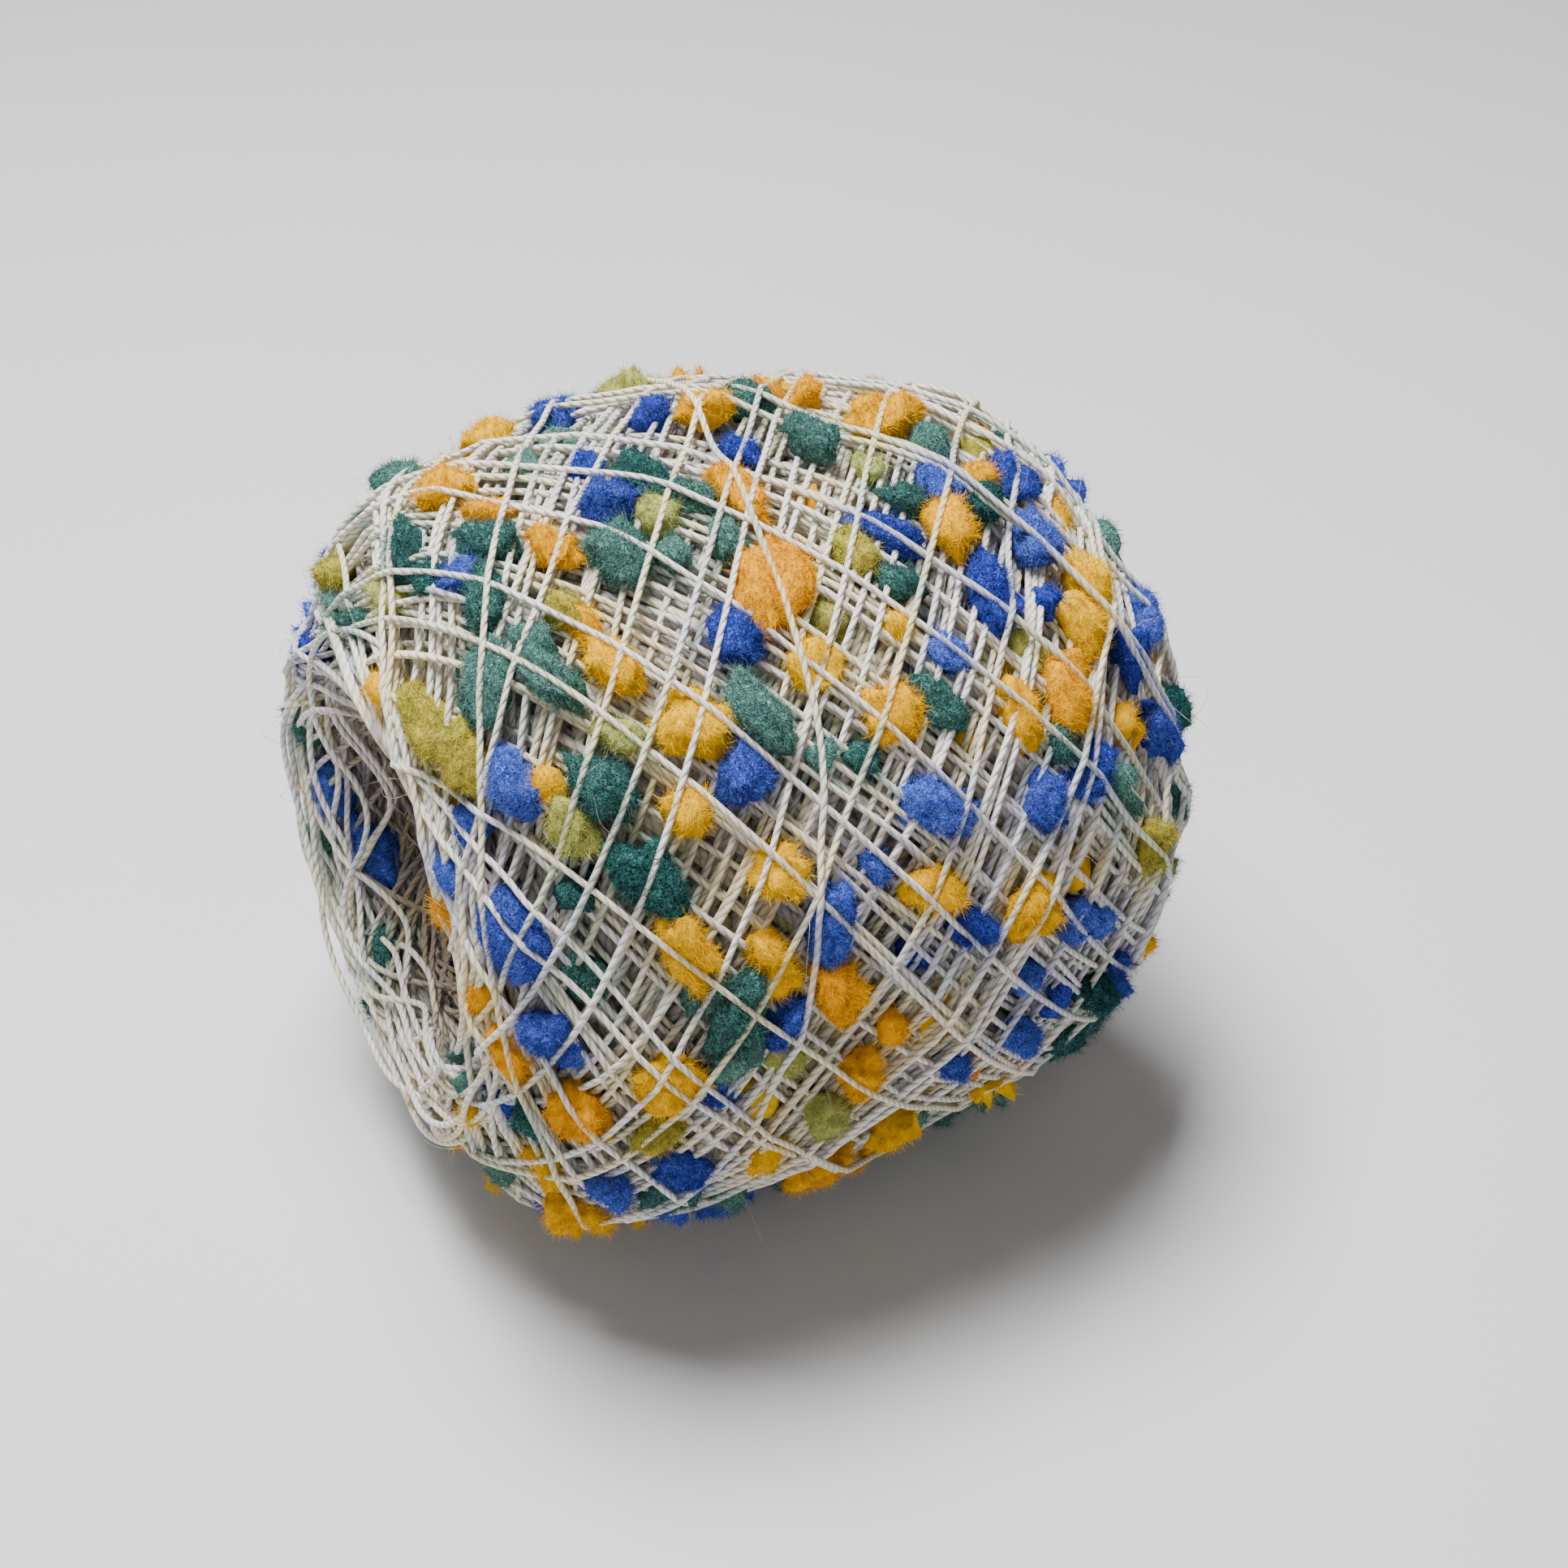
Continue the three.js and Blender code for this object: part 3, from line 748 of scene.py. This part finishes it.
def blend_colour(tree, mode, share, a, b):
    """Two colours blended, each a socket or fixed."""
    node = tree.nodes.new("ShaderNodeMix")
    node.data_type, node.blend_type = "RGBA", mode
    for socket, value in ((node.inputs[0], share), (node.inputs[6], a), (node.inputs[7], b)):
        if isinstance(value, (int, float, tuple)):
            socket.default_value = value
        else:
            tree.links.new(value, socket)
    return node.outputs[2]


def object_spots(tree):
    return tree.nodes.new("ShaderNodeTexCoord").outputs["Object"]


def noise_on(tree, spots, **values):
    node = set_inputs(tree.nodes.new("ShaderNodeTexNoise"), **values)
    tree.links.new(spots, node.inputs["Vector"])
    return node


def plies_group():
    """Two plies twisted together: their height, and the painted shade in the groove between them."""
    tree, start, end = new_group("plies", [("Pitch", "Float", 2.2), ("Fuzz", "Float", 0.3)],
                                 [("Height", "Float"), ("Groove", "Float"), ("Tone", "Float")])
    uv = tree.nodes.new("ShaderNodeUVMap")
    uv.uv_map = "plies"
    split = tree.nodes.new("ShaderNodeSeparateXYZ")
    tree.links.new(uv.outputs["UV"], split.inputs[0])
    twist = maths(tree, "DIVIDE", split.outputs["X"], start.outputs["Pitch"])
    phase = maths(tree, "MULTIPLY", maths(tree, "SUBTRACT", split.outputs["Y"], twist), 2 * math.pi)
    lobe = maths(tree, "ABSOLUTE", maths(tree, "COSINE", phase))
    spots = object_spots(tree)
    fine = noise_on(tree, spots, Scale=5200.0, Detail=2.0)
    broad = noise_on(tree, spots, Scale=160.0)
    rough = maths(tree, "MULTIPLY", fine.outputs["Fac"], start.outputs["Fuzz"])
    tree.links.new(maths(tree, "ADD", maths(tree, "POWER", lobe, 0.6), rough), end.inputs["Height"])
    tree.links.new(maths(tree, "SUBTRACT", 1.0, maths(tree, "POWER", lobe, 0.45)), end.inputs["Groove"])
    tree.links.new(broad.outputs["Fac"], end.inputs["Tone"])
    return tree


def felt_group():
    """Felted fluff: soft clumps and fine curled fibres, for the relief, the painted shade between clumps and
    the painted highlight on the curls.
    """
    tree, start, end = new_group("felt", [("Clump Scale", "Float", 800.0), ("Curl Scale", "Float", 1500.0)],
                                 [("Height", "Float"), ("Clumps", "Float"), ("Curls", "Float")])
    spots = object_spots(tree)
    clumps = noise_on(tree, spots, Detail=3.0, Distortion=0.6)
    tree.links.new(start.outputs["Clump Scale"], clumps.inputs["Scale"])
    curls = []
    for shift in (0.0, 0.37):
        moved = set_inputs(tree.nodes.new("ShaderNodeMapping"), Location=(shift, shift * 2, -shift))
        tree.links.new(spots, moved.inputs["Vector"])
        bent = noise_on(tree, moved.outputs[0], Detail=1.0, Distortion=1.6)
        tree.links.new(start.outputs["Curl Scale"], bent.inputs["Scale"])
        away = maths(tree, "ABSOLUTE", maths(tree, "SUBTRACT", bent.outputs["Fac"], 0.5))
        line = maths(tree, "SUBTRACT", 1.0, maths(tree, "MULTIPLY", away, 13.0))
        line.node.use_clamp = True
        curls.append(line)
    curl = maths(tree, "MAXIMUM", *curls)
    height = maths(tree, "ADD", clumps.outputs["Fac"], maths(tree, "MULTIPLY", curl, 0.35))
    tree.links.new(height, end.inputs["Height"])
    tree.links.new(clumps.outputs["Fac"], end.inputs["Clumps"])
    tree.links.new(curl, end.inputs["Curls"])
    return tree


def material(name, roughness, sheen, specular=0.3):
    made = bpy.data.materials.new(name)
    made.use_nodes = True
    shader = set_inputs(made.node_tree.nodes["Principled BSDF"], Roughness=roughness, Sheen_Weight=sheen,
                        Sheen_Roughness=0.5, Specular_IOR_Level=specular)
    return made, made.node_tree, shader


def put_group(tree, group):
    node = tree.nodes.new("ShaderNodeGroup")
    node.node_tree = group
    return node


def bump(tree, shader, height, deep, strength):
    """Relief so many millimetres deep."""
    node = set_inputs(tree.nodes.new("ShaderNodeBump"), Strength=strength, Distance=deep * MM)
    tree.links.new(height, node.inputs["Height"])
    tree.links.new(node.outputs["Normal"], shader.inputs["Normal"])


def strand_finish():
    """The strand's dye and painted shade, with painted shade between its plies, and darker in broad soft
    patches.
    """
    made, tree, shader = material("strand", 0.82, 0.25)
    plies = set_inputs(put_group(tree, plies_group()), Pitch=PLY_PITCH)
    dye = tree.nodes.new("ShaderNodeAttribute")
    dye.attribute_name = "dye"
    # painted shade in the grooves between the plies
    shaded = blend_colour(tree, "MULTIPLY", maths(tree, "MULTIPLY", plies.outputs["Groove"], 0.62),
                          dye.outputs["Color"], (0.42, 0.37, 0.33, 1))
    toned = blend_colour(tree, "MULTIPLY", maths(tree, "MULTIPLY", plies.outputs["Tone"], 0.5),
                         shaded, (0.72, 0.68, 0.62, 1))
    tree.links.new(toned, shader.inputs["Base Color"])
    bump(tree, shader, plies.outputs["Height"], 0.22, 0.8)
    return made


FELTS = {
    # for a deep-toned dot and a light-toned one: painted shade in the hollows, middle, painted highlight on
    # the fibres
    "gold": [((0.55, 0.19, 0.000), (0.84, 0.36, 0.000), (0.93, 0.48, 0.001)),
             ((0.66, 0.36, 0.000), (0.88, 0.51, 0.001), (0.96, 0.64, 0.004))],
    "teal": [((0.001, 0.012, 0.016), (0.004, 0.040, 0.045), (0.07, 0.27, 0.25)),
             ((0.020, 0.085, 0.075), (0.08, 0.235, 0.195), (0.32, 0.58, 0.48))],
    "blue": [((0.002, 0.003, 0.085), (0.010, 0.014, 0.26), (0.09, 0.15, 0.75)),
             ((0.010, 0.025, 0.27), (0.035, 0.085, 0.60), (0.24, 0.36, 1.00))],
    "olive": [((0.17, 0.14, 0.01), (0.42, 0.35, 0.03), (0.70, 0.62, 0.14)),
              ((0.18, 0.24, 0.05), (0.42, 0.47, 0.13), (0.70, 0.77, 0.34))],
}
CURLED = {"gold": 0.15, "teal": 0.85, "blue": 0.75, "olive": 0.4}  # how much painted highlight the curls get
ROUGHENED = {"gold": 0.45, "teal": 1.0, "blue": 0.9, "olive": 0.6}  # the strength of the relief


def felt_finish(group, colour):
    """The felt of one colour, each dot with a tone of its own, painted shade in its hollows and painted
    highlight on its hair tips and curls.
    """
    made, tree, shader = material("dot_" + colour, 0.95, 0.04, 0.05)
    low, high = FELTS[colour]
    shader.inputs["Sheen Tint"].default_value = high[2] + (1,)
    felt = put_group(tree, group)
    shade, tip = tree.nodes.new("ShaderNodeAttribute"), tree.nodes.new("ShaderNodeAttribute")
    shade.attribute_name, tip.attribute_name = "shade", "tip"
    tones = [blend_colour(tree, "MIX", shade.outputs["Fac"], a + (1,), b + (1,)) for a, b in zip(low, high)]
    # painted shade: darker where the clumps dip, in the hollows of the relief
    clump_shade = maths(tree, "MULTIPLY", maths(tree, "SUBTRACT", felt.outputs["Clumps"], 0.38), 4.0)
    clump_shade.node.use_clamp = True
    body = blend_colour(tree, "MIX", clump_shade, tones[0], tones[1])
    # painted highlight: the hair tips and the curls take the lit tone
    lit = maths(tree, "MAXIMUM", maths(tree, "MULTIPLY", tip.outputs["Fac"], 0.9),
                maths(tree, "MULTIPLY", felt.outputs["Curls"], CURLED[colour]))
    tree.links.new(blend_colour(tree, "MIX", lit, body, tones[2]), shader.inputs["Base Color"])
    bump(tree, shader, felt.outputs["Height"], 0.45, ROUGHENED[colour])
    return made


def inside_finish():
    """Crossing ridges, as of strands that lie too deep to be told apart, in painted shade: dark overall and
    darker between the ridges.
    """
    made, tree, shader = material("packed_strand", 0.9, 0.1)
    spots = object_spots(tree)
    heights = []
    for lean in (-33, 33):
        turned = set_inputs(tree.nodes.new("ShaderNodeMapping"), Rotation=(0, 0.3, math.radians(lean)))
        bands = set_inputs(tree.nodes.new("ShaderNodeTexWave"), Scale=330.0, Distortion=1.5)
        bands.bands_direction = "Y"
        tree.links.new(spots, turned.inputs["Vector"])
        tree.links.new(turned.outputs[0], bands.inputs["Vector"])
        heights.append(bands.outputs["Fac"])
    height = maths(tree, "MAXIMUM", *heights)
    # painted shade: darker between the ridges, and darker than the strands over it
    tree.links.new(blend_colour(tree, "MIX", height, (0.30, 0.26, 0.21, 1), (0.72, 0.67, 0.58, 1)),
                   shader.inputs["Base Color"])
    bump(tree, shader, height, 0.6, 0.9)
    return made


def floor_finish():
    """Plain pale matt floor, hardly speckled."""
    made, tree, shader = material("pale_floor", 0.75, 0.0)
    speckle = noise_on(tree, object_spots(tree), Scale=12.0, Detail=6.0)
    tone = blend_colour(tree, "MIX", speckle.outputs["Fac"], (0.66, 0.66, 0.67, 1), (0.70, 0.70, 0.71, 1))
    tree.links.new(tone, shader.inputs["Base Color"])
    return made


# Making it all

DOTS += [read_dot(name) for name in sorted(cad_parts) if name.startswith("dot_")]
DOTS += [lay_dot(*row) for row in LESSER]
DOTS += scatter_dots(DOTS, 130, SEED + 3)
DOTS += scatter_dots(DOTS, 80, SEED + 4, apart=5.6, long=(4, 7), proud=(-1.9, -0.3), front_too=True)
DOT_TREE = tree_of([dot["middle"] for dot in DOTS])

outside_heap, core_heap = Heap(-62, 64, 600), Heap(50, 152, 220)
laid = [pile_up(outside_heap, lay, SEED + 20 * k) for k, lay in enumerate(LAYS)]
laid_core = pile_up(core_heap, CORE_LAY, SEED + 200)
last_turn = cross_turn(outside_heap)

over_tree = tree_of(np.vstack([
    place(run["along"], run["turn"], run["high"]) for run in (laid[-1], last_turn)]))

strands = [turns_piece(lay, runs, SEED + 300 + k)
           for k, (lay, runs) in enumerate(zip(LAYS + [CORE_LAY], laid + [laid_core]))]
strands += [
    turns_piece({"name": "last_turn", "sides": 8, "every": 3}, last_turn, SEED + 400),
    strand_piece("slack_turns", slack_runs(), 8),
    strand_piece("rim_turns", rim_runs(), 6),
    strand_piece("stray_fibres", hair_runs(laid[-1], 170), 4, HAIR_THICK, taper=True),
]
strand_look, felt, nap = strand_finish(), felt_group(), nap_tree()
pieces = [(piece, "strand", strand_look) for piece in strands]
pieces.append((under_body(), "strand", inside_finish()))
for colour in COLOURS:
    pieces.append((dots_piece(colour, over_tree, nap), "dot_" + colour, felt_finish(felt, colour)))

for piece, slot, look in pieces:
    piece.data.materials.clear()
    piece.data.materials.append(look)
    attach(piece, "root")
    if piece.name.startswith("dots_"):
        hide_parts(*[d["name"] for d in DOTS if d["name"] and d["colour"] == piece.name[5:]])
    elif piece.name.startswith("turns_") or piece.name == "packed_inside":
        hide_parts("wound_ball")

bm = bmesh.new()
bmesh.ops.create_grid(bm, x_segments=8, y_segments=8, size=FLOOR_HALF)
floor_mesh = bpy.data.meshes.new("floor")
bm.to_mesh(floor_mesh)
bm.free()
floor = show("floor", floor_mesh)
floor.data.materials.append(floor_finish())


def soft_light(name, size, power, spot, aim, colour=(1, 1, 1)):
    """A wide lamp, its size and places in metres."""
    lamp = bpy.data.lights.new(name, "AREA")
    lamp.shape, lamp.size, lamp.size_y = "RECTANGLE", size[0], size[1]
    lamp.energy, lamp.color = power, colour
    turned = (Vector(spot) - Vector(aim)).to_track_quat("Z", "Y").to_matrix().to_4x4()
    show(name, lamp).matrix_world = Matrix.Translation(spot) @ turned


soft_light("overhead", (0.32, 0.24), 10.0, (-0.08, 0.08, 0.62), (0, 0, 0.05))
soft_light("front", (0.35, 0.35), 1.0, (-0.35, -0.50, 0.42), (0, 0, 0.04), (1.0, 0.98, 0.95))
sky = bpy.data.worlds.new("studio")
sky.use_nodes = True
set_inputs(sky.node_tree.nodes["Background"], Color=(0.92, 0.94, 1.0, 1), Strength=0.11)
bpy.context.scene.world = sky

bpy.context.view_layer.update()
